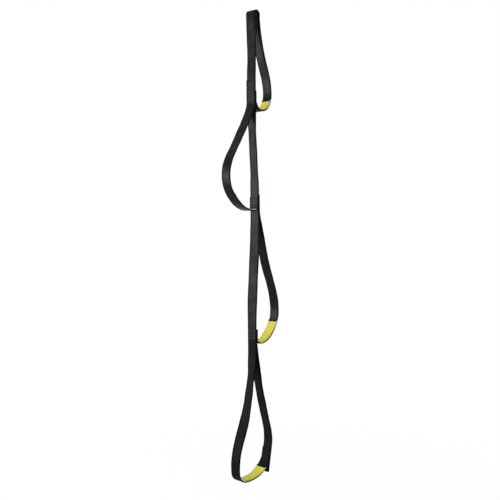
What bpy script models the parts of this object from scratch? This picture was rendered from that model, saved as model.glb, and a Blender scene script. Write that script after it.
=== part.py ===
"""A hanging ladder of flat webbing with four foot loops, in metres, +Z up.

The origin is the clip-in point, at the top inside the eye. The straps hang in the plane
Y = 0 with their width along Y, and the loops stand out along X. The ladder is four bodies,
hinged about Y just below each sewn junction, where the layers part.
"""

import math
from collections import namedtuple

import bmesh
import bpy
from mathutils import Matrix, Vector

MM = 0.001

# Webbing
WEBBING_WIDTH = 25.0 * MM
WEBBING_THICKNESS = 2.0 * MM
WEBBING_EDGE_ROUND = 0.6 * MM
LINING_WIDTH = 23.5 * MM
LINING_THICKNESS = 1.2 * MM
LINING_EDGE_ROUND = 0.4 * MM
LAYER_GAP = 0.3 * MM

# Bar tacks, the rows of thread that join the layers
TACK_WIDTH = 20.0 * MM
TACK_LENGTH = 2.6 * MM
TACK_HEIGHT = 0.8 * MM
TACK_ROUND = 0.25 * MM
TACK_END_MARGIN = 3.5 * MM

# Eye
EYE_RADIUS = 8.0 * MM

# Heights of the three hinges and of the lowest tread, each below the one above it
FIRST_HINGE_DROP = 210.0 * MM
SECOND_HINGE_DROP = 238.0 * MM
THIRD_HINGE_DROP = 301.0 * MM
LAST_TREAD_DROP = 294.3 * MM

# Where the spine's middle lies at each junction, along X
JUNCTION_1_X = -8.0 * MM
JUNCTION_2_X = -0.4 * MM
JUNCTION_3_X = -14.4 * MM

# Straight stretches beside each hinge, above it as far as the layers are sewn
HINGE_LEAD = 2.1 * MM
STRAIGHT_BELOW_HINGE = 2.6 * MM
JUNCTION_1_STRAIGHT = 60.0 * MM
JUNCTION_2_STRAIGHT = 46.0 * MM
JUNCTION_3_STRAIGHT = 44.0 * MM

# Sewn ends, as heights above the hinge of their junction
STEP_1_TAIL_TOP = 33.0 * MM
STEP_2_HEAD_TOP = 58.0 * MM
STEP_2_TAIL_TOP = 37.0 * MM
STEP_3_HEAD_TOP = 42.0 * MM
STEP_3_TAIL_TOP = 41.0 * MM
STEP_4_RETURN_TOP = 41.0 * MM

# The first stretch of spine swings a little towards step 1
SPINE_1_SWING = 2.0 * MM
SPINE_1_SWING_DROP = 92.0 * MM

# Step 1, right of the spine. OUT is a distance from the spine at the step's lower junction.
STEP_1_SHOULDER_OUT = 34.2 * MM
STEP_1_SHOULDER_DROP = 96.0 * MM
STEP_1_SHOULDER_LEAN = 18.0
STEP_1_REACH = 57.2 * MM
STEP_1_REACH_RISE = 33.0 * MM
STEP_1_TREAD_OUT = 23.0 * MM
STEP_1_TREAD_SAG = 8.5 * MM
STEP_1_TAIL_FOOT = 11.5 * MM

# Step 2, left of the spine
STEP_2_LEAD_OUT = 4.8 * MM
STEP_2_LEAD_DROP = 14.0 * MM
STEP_2_LEAD_LEAN = 29.0
STEP_2_SHOULDER_OUT = 57.8 * MM
STEP_2_SHOULDER_DROP = 78.5 * MM
STEP_2_SHOULDER_LEAN = 33.0
STEP_2_REACH = 96.6 * MM
STEP_2_REACH_RISE = 80.0 * MM
STEP_2_CORNER_OUT = 71.3 * MM
STEP_2_CORNER_RISE = 29.0 * MM
STEP_2_CORNER_HEADING = -43.0
STEP_2_TREAD_OUT = 18.0 * MM
STEP_2_TREAD_RISE = 6.7 * MM
STEP_2_TAIL_FOOT = 14.5 * MM

# Step 3, right of the spine
STEP_3_LEAD_OUT = 2.8 * MM
STEP_3_LEAD_DROP = 15.0 * MM
STEP_3_LEAD_LEAN = 17.0
STEP_3_SHOULDER_OUT = 46.7 * MM
STEP_3_SHOULDER_DROP = 107.0 * MM
STEP_3_SHOULDER_LEAN = 17.0
STEP_3_REACH = 82.7 * MM
STEP_3_REACH_RISE = 75.0 * MM
STEP_3_CORNER_OUT = 63.4 * MM
STEP_3_CORNER_RISE = 30.0 * MM
STEP_3_CORNER_HEADING = 48.0
STEP_3_TREAD_OUT = 20.0 * MM
STEP_3_TREAD_RISE = 7.4 * MM
STEP_3_TAIL_FOOT = 17.0 * MM

# Step 4, a teardrop below the third hinge. Drops are below that hinge, rises above the tread.
# Its tread turns up on the right, and is sewn inside the strap that hangs there.
STEP_4_LEFT_ARM_OUT = 10.4 * MM
STEP_4_LEFT_ARM_DROP = 85.0 * MM
STEP_4_LEFT_ARM_LEAN = 11.0
STEP_4_LEFT_SHOULDER_OUT = 32.8 * MM
STEP_4_LEFT_SHOULDER_DROP = 166.0 * MM
STEP_4_LEFT_SHOULDER_LEAN = 22.0
STEP_4_LEFT_REACH = 62.9 * MM
STEP_4_LEFT_REACH_RISE = 35.0 * MM
STEP_4_LEFT_CORNER_OUT = 54.1 * MM
STEP_4_LEFT_CORNER_RISE = 8.0 * MM
STEP_4_LEFT_CORNER_HEADING = -40.0
STEP_4_TREAD_OUT = -20.2 * MM
STEP_4_RIGHT_CORNER_OUT = 32.9 * MM
STEP_4_RIGHT_CORNER_RISE = 17.8 * MM
STEP_4_RIGHT_CORNER_HEADING = 42.0
STEP_4_LEAD_OUT = 1.3 * MM
STEP_4_LEAD_DROP = 15.0 * MM
STEP_4_LEAD_LEAN = 12.0
STEP_4_RIGHT_SHOULDER_OUT = 38.4 * MM
STEP_4_RIGHT_SHOULDER_DROP = 153.0 * MM
STEP_4_RIGHT_SHOULDER_LEAN = 16.0
STEP_4_RIGHT_REACH = 54.2 * MM
STEP_4_RIGHT_REACH_RISE = 73.0 * MM

# Where the right strap ends, and how it overlaps the tread's end, along the strap from there
STEP_4_END_OUT = 39.8 * MM
STEP_4_END_RISE = 0.8 * MM
STEP_4_END_LEAN = 12.0
STEP_4_LAP_START = 36.0 * MM
STEP_4_LAP_TOP = 54.0 * MM

# Roll of step 4's webbing about its own length, in degrees
STEP_4_LEFT_ARM_ROLL = 10.0
STEP_4_LEFT_SHOULDER_ROLL = 0.0
STEP_4_LEFT_REACH_ROLL = -3.0
STEP_4_TREAD_ROLL = 3.5
STEP_4_RIGHT_CORNER_ROLL = 6.0

# Each lining, as lengths of tread that it covers to the left and right of the lowest point
LINING_1_LEFT = 26.0 * MM
LINING_1_RIGHT = 46.0 * MM
LINING_2_LEFT = 76.0 * MM
LINING_2_RIGHT = 9.0 * MM
LINING_3_LEFT = 7.0 * MM
LINING_3_RIGHT = 84.0 * MM
LINING_4_LEFT = 46.0 * MM
LINING_4_RIGHT = 49.0 * MM

# How finely the bends are divided
BEND_SAMPLES = 48
BEND_HANDLE = 0.38
LARGEST_TURN = 6.0
LARGEST_TWIST = 1.5
LARGEST_STEP = 13.0 * MM
CUTTER_SEGMENTS = 64

# Worked out from the sizes above
LAYER_PITCH = WEBBING_THICKNESS + LAYER_GAP
HALF_PAIR = LAYER_PITCH / 2 + WEBBING_THICKNESS / 2
HINGE_RADIUS = math.hypot(HALF_PAIR, HINGE_LEAD)
BIGHT_RADIUS = EYE_RADIUS + WEBBING_THICKNESS / 2
LINING_OFFSET = WEBBING_THICKNESS / 2 + LAYER_GAP + LINING_THICKNESS / 2
TACK_OFFSET = LAYER_GAP + TACK_HEIGHT / 2

HINGE_1_Z = -FIRST_HINGE_DROP
HINGE_2_Z = HINGE_1_Z - SECOND_HINGE_DROP
HINGE_3_Z = HINGE_2_Z - THIRD_HINGE_DROP
LAST_TREAD_Z = HINGE_3_Z - LAST_TREAD_DROP

# Each hinge lies midway between the two layers that hang from it
HINGE_1_X = JUNCTION_1_X - LAYER_PITCH / 2
HINGE_2_X = JUNCTION_2_X + LAYER_PITCH / 2
HINGE_3_X = JUNCTION_3_X + LAYER_PITCH / 2

DOWN = -90.0
LEVEL = 0.0
UP = 90.0
RIGHT_TO_LEFT = 180.0

BLACK = (0.012, 0.013, 0.013)
BLACK_THREAD = (0.02, 0.02, 0.02)
YELLOW = (0.58, 0.55, 0.05)

Knot = namedtuple("Knot", "x z heading roll", defaults=(0.0,))
Station = namedtuple("Station", "x z heading roll run")


def clear_scene():
    for item in list(bpy.data.objects):
        bpy.data.objects.remove(item)


def new_collection(name):
    collection = bpy.data.collections.new(name)
    bpy.context.scene.collection.children.link(collection)
    return collection


def new_material(name, colour, roughness):
    material = bpy.data.materials.new(name)
    material.use_nodes = True
    shader = material.node_tree.nodes["Principled BSDF"]
    shader.inputs["Base Color"].default_value = (*colour, 1.0)
    shader.inputs["Roughness"].default_value = roughness
    shader.inputs["Metallic"].default_value = 0.0
    return material


def direction(heading):
    """Unit vector in the plane of X and Z, for an angle in degrees from +X towards +Z."""
    angle = math.radians(heading)
    return Vector((math.cos(angle), math.sin(angle)))


def bend(start, end):
    """The smooth bend from one knot to the next, as (x, z, heading, roll) at even parameters."""
    a = Vector((start.x, start.z))
    d = Vector((end.x, end.z))
    reach = (d - a).length * BEND_HANDLE
    b = a + direction(start.heading) * reach
    c = d - direction(end.heading) * reach
    samples = []
    for i in range(BEND_SAMPLES + 1):
        t = i / BEND_SAMPLES
        u = 1 - t
        point = a * u**3 + b * 3 * u * u * t + c * 3 * u * t * t + d * t**3
        slope = (b - a) * u * u + (c - b) * 2 * u * t + (d - c) * t * t
        ease = t * t * (3 - 2 * t)
        roll = start.roll + (end.roll - start.roll) * ease
        samples.append((point.x, point.y, math.degrees(math.atan2(slope.y, slope.x)), roll))
    return samples


def turn_between(a, b):
    """The smaller angle between two headings, in degrees."""
    return abs((b - a + 180.0) % 360.0 - 180.0)


def path_through(knots):
    """Stations along the path through the knots, and the run length at each knot."""
    dense = []
    knot_runs = [0.0]
    run = 0.0
    for start, end in zip(knots, knots[1:]):
        for x, z, heading, roll in bend(start, end):
            if dense:
                run += math.hypot(x - dense[-1].x, z - dense[-1].z)
            dense.append(Station(x, z, heading, roll, run))
        knot_runs.append(run)
    return thinned(dense), knot_runs


def thinned(dense):
    """Only the stations that the bends need, and always the first and last."""
    kept = [dense[0]]
    for station, following in zip(dense[1:], dense[2:]):
        turn = turn_between(kept[-1].heading, following.heading)
        twist = abs(following.roll - kept[-1].roll)
        far = following.run - kept[-1].run > LARGEST_STEP
        if turn > LARGEST_TURN or twist > LARGEST_TWIST or far:
            kept.append(station)
    kept.append(dense[-1])
    return kept


def mixed(a, b, share):
    """The station that lies this share of the way from one station to the next."""
    turn = (b.heading - a.heading + 180.0) % 360.0 - 180.0
    return Station(
        a.x + (b.x - a.x) * share,
        a.z + (b.z - a.z) * share,
        a.heading + turn * share,
        a.roll + (b.roll - a.roll) * share,
        a.run + (b.run - a.run) * share,
    )


def station_at(stations, run):
    for a, b in zip(stations, stations[1:]):
        if a.run <= run <= b.run and b.run > a.run:
            return mixed(a, b, (run - a.run) / (b.run - a.run))
    return stations[-1]


def stretch(stations, start, end):
    """The part of a path between two run lengths."""
    clear = LAYER_GAP
    inner = [s for s in stations if start + clear < s.run < end - clear]
    return [station_at(stations, start), *inner, station_at(stations, end)]


def axes_at(station):
    """The path's forward, inward and width directions, in space, with the roll applied."""
    angle = math.radians(station.heading)
    roll = math.radians(station.roll)
    forward = Vector((math.cos(angle), 0.0, math.sin(angle)))
    inward = Vector((-math.sin(angle), 0.0, math.cos(angle)))
    across = Vector((0.0, 1.0, 0.0))
    rolled_inward = inward * math.cos(roll) - across * math.sin(roll)
    rolled_across = across * math.cos(roll) + inward * math.sin(roll)
    return forward, rolled_inward, rolled_across


def point_at(station, offset=0.0):
    inward = axes_at(station)[1]
    return Vector((station.x, 0.0, station.z)) + inward * offset


def flat_profile(name, width, thickness, edge_round, guides):
    """The outline of a strap's cut end: thickness along X, width along Y, rounded edges."""
    side = width / 2
    shoulder = side - edge_round
    face = thickness / 2
    nose = face - edge_round
    quarter = [(-nose, side), (nose, side), (face, shoulder), (face, -shoulder)]
    outline = quarter + [(-x, -y) for x, y in quarter]
    data = bpy.data.curves.new(name, "CURVE")
    data.dimensions = "2D"
    spline = data.splines.new("POLY")
    spline.points.add(len(outline) - 1)
    for point, (x, y) in zip(spline.points, outline):
        point.co = (x, y, 0.0, 1.0)
    spline.use_cyclic_u = True
    profile = bpy.data.objects.new(name, data)
    profile.hide_render = True
    profile.display_type = "WIRE"
    guides.objects.link(profile)
    return profile


def swept(name, stations, profile, material, parts, offset=0.0):
    """A strap: the profile swept along the stations, rolled with them."""
    data = bpy.data.curves.new(name, "CURVE")
    data.dimensions = "3D"
    data.twist_mode = "Z_UP"
    data.bevel_mode = "OBJECT"
    data.bevel_object = profile
    data.use_fill_caps = True
    spline = data.splines.new("POLY")
    spline.points.add(len(stations) - 1)
    for point, station in zip(spline.points, stations):
        place = point_at(station, offset)
        # The curve's own XY plane is stood up by its object's rotation
        point.co = (place.x, place.z, -place.y, 1.0)
        point.tilt = math.radians(station.roll)
    strap = bpy.data.objects.new(name, data)
    strap.rotation_euler = (math.pi / 2, 0.0, 0.0)
    data.materials.append(material)
    parts.objects.link(strap)
    return strap


def as_mesh(item, parts):
    """The same strap as a welded mesh, so that it can be cut."""
    bpy.context.view_layer.update()
    graph = bpy.context.evaluated_depsgraph_get()
    data = bpy.data.meshes.new_from_object(item.evaluated_get(graph))
    welded = bmesh.new()
    welded.from_mesh(data)
    bmesh.ops.remove_doubles(welded, verts=welded.verts, dist=0.001 * MM)
    welded.to_mesh(data)
    welded.free()
    name = item.name
    place = item.matrix_world.copy()
    bpy.data.objects.remove(item)
    solid = bpy.data.objects.new(name, data)
    solid.matrix_world = place
    parts.objects.link(solid)
    return solid


def hinge_cutter(name, x, z, cutters):
    """A roller about a hinge, which hollows the strap ends above it."""
    bpy.ops.mesh.primitive_cylinder_add(
        vertices=CUTTER_SEGMENTS,
        radius=HINGE_RADIUS + LAYER_GAP,
        depth=WEBBING_WIDTH * 1.5,
        location=(x, 0.0, z),
        rotation=(math.pi / 2, 0.0, 0.0),
    )
    cutter = bpy.context.object
    cutter.name = name
    cutter.hide_render = True
    cutter.display_type = "WIRE"
    for collection in list(cutter.users_collection):
        collection.objects.unlink(cutter)
    cutters.objects.link(cutter)
    return cutter


def hollowed(strap, cutter, parts):
    """The strap with its end hollowed round the hinge below it."""
    solid = as_mesh(strap, parts)
    cut = solid.modifiers.new("hinge_clearance", "BOOLEAN")
    cut.object = cutter
    cut.operation = "DIFFERENCE"
    cut.solver = "EXACT"
    return solid


def tack(name, station, offset, material, parts):
    """One bar of stitching across a strap, this far from the strap's middle."""
    forward, inward, across = axes_at(station)
    bpy.ops.mesh.primitive_cube_add(size=1.0)
    bar = bpy.context.object
    bar.name = name
    size = (TACK_LENGTH, TACK_WIDTH, TACK_HEIGHT)
    bar.data.transform(Matrix.Diagonal((*size, 1.0)))
    turn = Matrix((forward, across, inward)).transposed()
    if turn.determinant() < 0:
        turn = Matrix((-forward, across, inward)).transposed()
    bar.matrix_world = Matrix.Translation(point_at(station, offset)) @ turn.to_4x4()
    edge = bar.modifiers.new("rounded", "BEVEL")
    edge.width = TACK_ROUND
    edge.segments = 1
    bar.data.materials.append(material)
    for collection in list(bar.users_collection):
        collection.objects.unlink(bar)
    parts.objects.link(bar)
    return bar


def upright(x, top, bottom, heading=DOWN):
    """A straight stretch of strap, hanging at x."""
    ends = [Knot(x, top, heading), Knot(x, bottom, heading)]
    return ends if heading == DOWN else ends[::-1]


def step_1_and_spine_1():
    """From step 1's tail round its tread, up its arm, over the eye and down the spine."""
    tail_x = JUNCTION_1_X + LAYER_PITCH
    tread_z = HINGE_1_Z - STEP_1_TREAD_SAG
    bight_z = -EYE_RADIUS
    straight_top = HINGE_1_Z + JUNCTION_1_STRAIGHT
    tail = [
        Knot(tail_x, HINGE_1_Z + STEP_1_TAIL_TOP, DOWN),
        Knot(tail_x, HINGE_1_Z + STEP_1_TAIL_FOOT, DOWN),
    ]
    loop = [
        Knot(JUNCTION_1_X + STEP_1_TREAD_OUT, tread_z, LEVEL),
        Knot(JUNCTION_1_X + STEP_1_REACH, HINGE_1_Z + STEP_1_REACH_RISE, UP),
        Knot(
            JUNCTION_1_X + STEP_1_SHOULDER_OUT,
            -STEP_1_SHOULDER_DROP,
            UP + STEP_1_SHOULDER_LEAN,
        ),
        Knot(BIGHT_RADIUS, bight_z, UP),
    ]
    over = [
        Knot(0.0, bight_z + BIGHT_RADIUS, RIGHT_TO_LEFT),
        Knot(-BIGHT_RADIUS, bight_z, DOWN),
    ]
    spine = [
        Knot(JUNCTION_1_X + SPINE_1_SWING, -SPINE_1_SWING_DROP, DOWN),
        Knot(JUNCTION_1_X, straight_top, DOWN),
        Knot(JUNCTION_1_X, HINGE_1_Z + HINGE_LEAD, DOWN),
    ]
    return tail + loop + over + spine


def spine_knots(top_x, top_hinge_z, bottom_x, bottom_hinge_z, bottom_straight):
    """A stretch of spine from one hinge to the next, straight beside both."""
    return [
        Knot(top_x, top_hinge_z + HINGE_LEAD, DOWN),
        Knot(top_x, top_hinge_z - STRAIGHT_BELOW_HINGE, DOWN),
        Knot(bottom_x, bottom_hinge_z + bottom_straight, DOWN),
        Knot(bottom_x, bottom_hinge_z + HINGE_LEAD, DOWN),
    ]


def step_2_loop():
    """Down the left arm, along the tread to the right, and up the sewn tail."""
    head_x = JUNCTION_1_X - LAYER_PITCH
    tail_x = JUNCTION_2_X - LAYER_PITCH
    return [
        Knot(head_x, HINGE_1_Z + HINGE_LEAD, DOWN),
        Knot(head_x, HINGE_1_Z - STRAIGHT_BELOW_HINGE, DOWN),
        Knot(
            head_x - STEP_2_LEAD_OUT,
            HINGE_1_Z - STEP_2_LEAD_DROP,
            DOWN - STEP_2_LEAD_LEAN,
        ),
        Knot(
            JUNCTION_2_X - STEP_2_SHOULDER_OUT,
            HINGE_1_Z - STEP_2_SHOULDER_DROP,
            DOWN - STEP_2_SHOULDER_LEAN,
        ),
        Knot(JUNCTION_2_X - STEP_2_REACH, HINGE_2_Z + STEP_2_REACH_RISE, DOWN),
        Knot(
            JUNCTION_2_X - STEP_2_CORNER_OUT,
            HINGE_2_Z + STEP_2_CORNER_RISE,
            STEP_2_CORNER_HEADING,
        ),
        Knot(JUNCTION_2_X - STEP_2_TREAD_OUT, HINGE_2_Z + STEP_2_TREAD_RISE, LEVEL),
        Knot(tail_x, HINGE_2_Z + STEP_2_TAIL_FOOT, UP),
        Knot(tail_x, HINGE_2_Z + STEP_2_TAIL_TOP, UP),
    ]


def step_3_loop():
    """Down the sewn tail, along the tread to the right, and up the right arm."""
    head_x = JUNCTION_2_X + LAYER_PITCH
    tail_x = JUNCTION_3_X + 2 * LAYER_PITCH
    return [
        Knot(tail_x, HINGE_3_Z + STEP_3_TAIL_TOP, DOWN),
        Knot(tail_x, HINGE_3_Z + STEP_3_TAIL_FOOT, DOWN),
        Knot(JUNCTION_3_X + STEP_3_TREAD_OUT, HINGE_3_Z + STEP_3_TREAD_RISE, LEVEL),
        Knot(
            JUNCTION_3_X + STEP_3_CORNER_OUT,
            HINGE_3_Z + STEP_3_CORNER_RISE,
            STEP_3_CORNER_HEADING,
        ),
        Knot(JUNCTION_3_X + STEP_3_REACH, HINGE_3_Z + STEP_3_REACH_RISE, UP),
        Knot(
            JUNCTION_3_X + STEP_3_SHOULDER_OUT,
            HINGE_2_Z - STEP_3_SHOULDER_DROP,
            UP + STEP_3_SHOULDER_LEAN,
        ),
        Knot(head_x + STEP_3_LEAD_OUT, HINGE_2_Z - STEP_3_LEAD_DROP, UP + STEP_3_LEAD_LEAN),
        Knot(head_x, HINGE_2_Z - STRAIGHT_BELOW_HINGE, UP),
        Knot(head_x, HINGE_2_Z + HINGE_LEAD, UP),
    ]


def lap_knot(along, layer):
    """A place on the straight overlap at step 4's right, this far above the right strap's end."""
    forward = direction(UP - STEP_4_END_LEAN)
    inward = direction(UP - STEP_4_END_LEAN + UP)
    end = Vector((JUNCTION_3_X + STEP_4_END_OUT, LAST_TREAD_Z + STEP_4_END_RISE))
    place = end + forward * along + inward * layer
    return Knot(place.x, place.y, UP - STEP_4_END_LEAN)


def step_4_loop():
    """Down the left arm, along the lowest tread, and up to its sewn end on the right."""
    middle = JUNCTION_3_X
    return [
        Knot(middle, HINGE_3_Z + HINGE_LEAD, DOWN),
        Knot(middle, HINGE_3_Z - STRAIGHT_BELOW_HINGE, DOWN),
        Knot(
            middle - STEP_4_LEFT_ARM_OUT,
            HINGE_3_Z - STEP_4_LEFT_ARM_DROP,
            DOWN - STEP_4_LEFT_ARM_LEAN,
            STEP_4_LEFT_ARM_ROLL,
        ),
        Knot(
            middle - STEP_4_LEFT_SHOULDER_OUT,
            HINGE_3_Z - STEP_4_LEFT_SHOULDER_DROP,
            DOWN - STEP_4_LEFT_SHOULDER_LEAN,
            STEP_4_LEFT_SHOULDER_ROLL,
        ),
        Knot(
            middle - STEP_4_LEFT_REACH,
            LAST_TREAD_Z + STEP_4_LEFT_REACH_RISE,
            DOWN,
            STEP_4_LEFT_REACH_ROLL,
        ),
        Knot(
            middle - STEP_4_LEFT_CORNER_OUT,
            LAST_TREAD_Z + STEP_4_LEFT_CORNER_RISE,
            STEP_4_LEFT_CORNER_HEADING,
        ),
        Knot(middle + STEP_4_TREAD_OUT, LAST_TREAD_Z, LEVEL, STEP_4_TREAD_ROLL),
        Knot(
            middle + STEP_4_RIGHT_CORNER_OUT,
            LAST_TREAD_Z + STEP_4_RIGHT_CORNER_RISE,
            STEP_4_RIGHT_CORNER_HEADING,
            STEP_4_RIGHT_CORNER_ROLL,
        ),
        lap_knot(STEP_4_LAP_START, LAYER_PITCH),
        lap_knot(STEP_4_LAP_TOP, LAYER_PITCH),
    ]


def step_4_right():
    """From the right strap's lower end up past the overlap, and on to the third hinge."""
    middle = JUNCTION_3_X
    return_x = JUNCTION_3_X + LAYER_PITCH
    return [
        lap_knot(0.0, 0.0),
        lap_knot(STEP_4_LAP_TOP, 0.0),
        Knot(middle + STEP_4_RIGHT_REACH, LAST_TREAD_Z + STEP_4_RIGHT_REACH_RISE, UP),
        Knot(
            middle + STEP_4_RIGHT_SHOULDER_OUT,
            HINGE_3_Z - STEP_4_RIGHT_SHOULDER_DROP,
            UP + STEP_4_RIGHT_SHOULDER_LEAN,
        ),
        Knot(return_x + STEP_4_LEAD_OUT, HINGE_3_Z - STEP_4_LEAD_DROP, UP + STEP_4_LEAD_LEAN),
        Knot(return_x, HINGE_3_Z - STRAIGHT_BELOW_HINGE, UP),
        Knot(return_x, HINGE_3_Z + HINGE_LEAD, UP),
    ]


def add_lining(step, stations, tread_run, left, right, shop):
    """The bright lining inside a tread, with a bar tack at each of its ends."""
    start = tread_run - left
    end = tread_run + right
    covered = stretch(stations, start, end)
    lining = swept(
        f"step_{step}_lining", covered, shop.lining_profile, shop.yellow, shop.parts, LINING_OFFSET
    )
    above = LINING_OFFSET + LINING_THICKNESS / 2 + TACK_OFFSET
    tacks = []
    for side, run in (("left", start + TACK_END_MARGIN), ("right", end - TACK_END_MARGIN)):
        place = station_at(stations, run)
        name = f"step_{step}_lining_tack_{side}"
        tacks.append(tack(name, place, above, shop.thread, shop.parts))
    return [lining, *tacks]


def add_junction_tacks(junction, hinge_z, tail_top, tail_foot, front_x, back_x, shop):
    """Two rows of bar tack through a junction's layers, seen on its front and its back."""
    rows = (
        ("upper", hinge_z + tail_top - TACK_END_MARGIN),
        ("lower", hinge_z + tail_foot + TACK_END_MARGIN),
    )
    out = WEBBING_THICKNESS / 2 + TACK_OFFSET
    tacks = []
    for row, z in rows:
        for face, x, side in (("front", front_x, -1), ("back", back_x, 1)):
            place = Station(x, z, DOWN, 0.0, 0.0)
            name = f"junction_{junction}_tack_{row}_{face}"
            tacks.append(tack(name, place, side * out, shop.thread, shop.parts))
    return tacks


def add_top_section(shop):
    """The eye, step 1, the first stretch of spine, and step 2's sewn head."""
    stations, runs = path_through(step_1_and_spine_1())
    strap = swept("main_strap_top", stations, shop.webbing_profile, shop.black, shop.parts)
    strap = hollowed(strap, shop.hinge_1_cutter, shop.parts)
    head_x = JUNCTION_1_X - LAYER_PITCH
    knots = upright(head_x, HINGE_1_Z + STEP_2_HEAD_TOP, HINGE_1_Z + HINGE_LEAD)
    head = swept(
        "step_2_head", path_through(knots)[0], shop.webbing_profile, shop.black, shop.parts
    )
    head = hollowed(head, shop.hinge_1_cutter, shop.parts)
    lining = add_lining(1, stations, runs[2], LINING_1_LEFT, LINING_1_RIGHT, shop)
    tacks = add_junction_tacks(
        1,
        HINGE_1_Z,
        STEP_1_TAIL_TOP,
        STEP_1_TAIL_FOOT,
        head_x,
        JUNCTION_1_X + LAYER_PITCH,
        shop,
    )
    return [strap, head, *lining, *tacks]


def add_second_section(shop):
    """The second stretch of spine, step 2, and step 3's sewn head."""
    knots = spine_knots(JUNCTION_1_X, HINGE_1_Z, JUNCTION_2_X, HINGE_2_Z, JUNCTION_2_STRAIGHT)
    spine = swept("spine_2", path_through(knots)[0], shop.webbing_profile, shop.black, shop.parts)
    spine = hollowed(spine, shop.hinge_2_cutter, shop.parts)
    stations, runs = path_through(step_2_loop())
    loop = swept("step_2_strap", stations, shop.webbing_profile, shop.black, shop.parts)
    head_x = JUNCTION_2_X + LAYER_PITCH
    knots = upright(head_x, HINGE_2_Z + STEP_3_HEAD_TOP, HINGE_2_Z + HINGE_LEAD)
    head = swept(
        "step_3_head", path_through(knots)[0], shop.webbing_profile, shop.black, shop.parts
    )
    head = hollowed(head, shop.hinge_2_cutter, shop.parts)
    lining = add_lining(2, stations, runs[6], LINING_2_LEFT, LINING_2_RIGHT, shop)
    tacks = add_junction_tacks(
        2,
        HINGE_2_Z,
        STEP_2_TAIL_TOP,
        STEP_2_TAIL_FOOT,
        JUNCTION_2_X - LAYER_PITCH,
        head_x,
        shop,
    )
    return [spine, loop, head, *lining, *tacks]


def add_third_section(shop):
    """The third stretch of spine, step 3, and the sewn end that comes back from step 4."""
    knots = spine_knots(JUNCTION_2_X, HINGE_2_Z, JUNCTION_3_X, HINGE_3_Z, JUNCTION_3_STRAIGHT)
    spine = swept("spine_3", path_through(knots)[0], shop.webbing_profile, shop.black, shop.parts)
    spine = hollowed(spine, shop.hinge_3_cutter, shop.parts)
    stations, runs = path_through(step_3_loop())
    loop = swept("step_3_strap", stations, shop.webbing_profile, shop.black, shop.parts)
    return_x = JUNCTION_3_X + LAYER_PITCH
    knots = upright(return_x, HINGE_3_Z + STEP_4_RETURN_TOP, HINGE_3_Z + HINGE_LEAD)
    returned = swept(
        "step_4_return_end", path_through(knots)[0], shop.webbing_profile, shop.black, shop.parts
    )
    returned = hollowed(returned, shop.hinge_3_cutter, shop.parts)
    lining = add_lining(3, stations, runs[2], LINING_3_LEFT, LINING_3_RIGHT, shop)
    tacks = add_junction_tacks(
        3,
        HINGE_3_Z,
        STEP_3_TAIL_TOP,
        STEP_3_TAIL_FOOT,
        JUNCTION_3_X,
        JUNCTION_3_X + 2 * LAYER_PITCH,
        shop,
    )
    return [spine, loop, returned, *lining, *tacks]


def add_lap_tacks(shop):
    """Two rows of bar tack where step 4's tread is sewn inside the right strap."""
    rows = (
        ("upper", STEP_4_LAP_TOP - TACK_END_MARGIN),
        ("lower", STEP_4_LAP_START + TACK_END_MARGIN),
    )
    out = WEBBING_THICKNESS / 2 + TACK_OFFSET
    tacks = []
    for row, along in rows:
        for face, layer in (("inner", LAYER_PITCH + out), ("outer", -out)):
            knot = lap_knot(along, layer)
            place = Station(knot.x, knot.z, knot.heading, 0.0, 0.0)
            tacks.append(tack(f"step_4_lap_tack_{row}_{face}", place, 0.0, shop.thread, shop.parts))
    return tacks


def add_bottom_section(shop):
    """Step 4, the teardrop loop: its left arm and tread, and its right strap."""
    stations, runs = path_through(step_4_loop())
    loop = swept("step_4_strap", stations, shop.webbing_profile, shop.black, shop.parts)
    right = swept(
        "step_4_right_strap",
        path_through(step_4_right())[0],
        shop.webbing_profile,
        shop.black,
        shop.parts,
    )
    lining = add_lining(4, stations, runs[6], LINING_4_LEFT, LINING_4_RIGHT, shop)
    return [loop, right, *lining, *add_lap_tacks(shop)]


def hang_from(x, z, name, above, pieces):
    """An empty on the hinge, which carries these pieces and hangs from the empty above it."""
    hinge = bpy.data.objects.new(name, None)
    hinge.location = (x, 0.0, z)
    bpy.context.scene.collection.objects.link(hinge)
    bpy.context.view_layer.update()
    if above:
        hinge.parent = above
        hinge.matrix_parent_inverse = above.matrix_world.inverted()
    bpy.context.view_layer.update()
    for piece in pieces:
        piece.parent = hinge
        piece.matrix_parent_inverse = hinge.matrix_world.inverted()
    return hinge


class Workshop:
    """What every piece is made with: collections, materials, profiles and cutters."""

    def __init__(self):
        self.parts = new_collection("foot_loop")
        self.guides = new_collection("cutters")
        self.black = new_material("black_webbing", BLACK, 0.82)
        self.yellow = new_material("yellow_lining", YELLOW, 0.75)
        self.thread = new_material("black_thread", BLACK_THREAD, 0.6)
        self.webbing_profile = flat_profile(
            "webbing_profile", WEBBING_WIDTH, WEBBING_THICKNESS, WEBBING_EDGE_ROUND, self.guides
        )
        self.lining_profile = flat_profile(
            "lining_profile", LINING_WIDTH, LINING_THICKNESS, LINING_EDGE_ROUND, self.guides
        )
        self.hinge_1_cutter = hinge_cutter("hinge_1_cutter", HINGE_1_X, HINGE_1_Z, self.guides)
        self.hinge_2_cutter = hinge_cutter("hinge_2_cutter", HINGE_2_X, HINGE_2_Z, self.guides)
        self.hinge_3_cutter = hinge_cutter("hinge_3_cutter", HINGE_3_X, HINGE_3_Z, self.guides)


def main():
    clear_scene()
    shop = Workshop()
    hang_from(0.0, 0.0, "clip_in", None, add_top_section(shop))
    top = bpy.data.objects["clip_in"]
    hinge_1 = hang_from(HINGE_1_X, HINGE_1_Z, "hinge_1", top, add_second_section(shop))
    hinge_2 = hang_from(HINGE_2_X, HINGE_2_Z, "hinge_2", hinge_1, add_third_section(shop))
    hang_from(HINGE_3_X, HINGE_3_Z, "hinge_3", hinge_2, add_bottom_section(shop))
    bpy.context.view_layer.update()


main()
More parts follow.
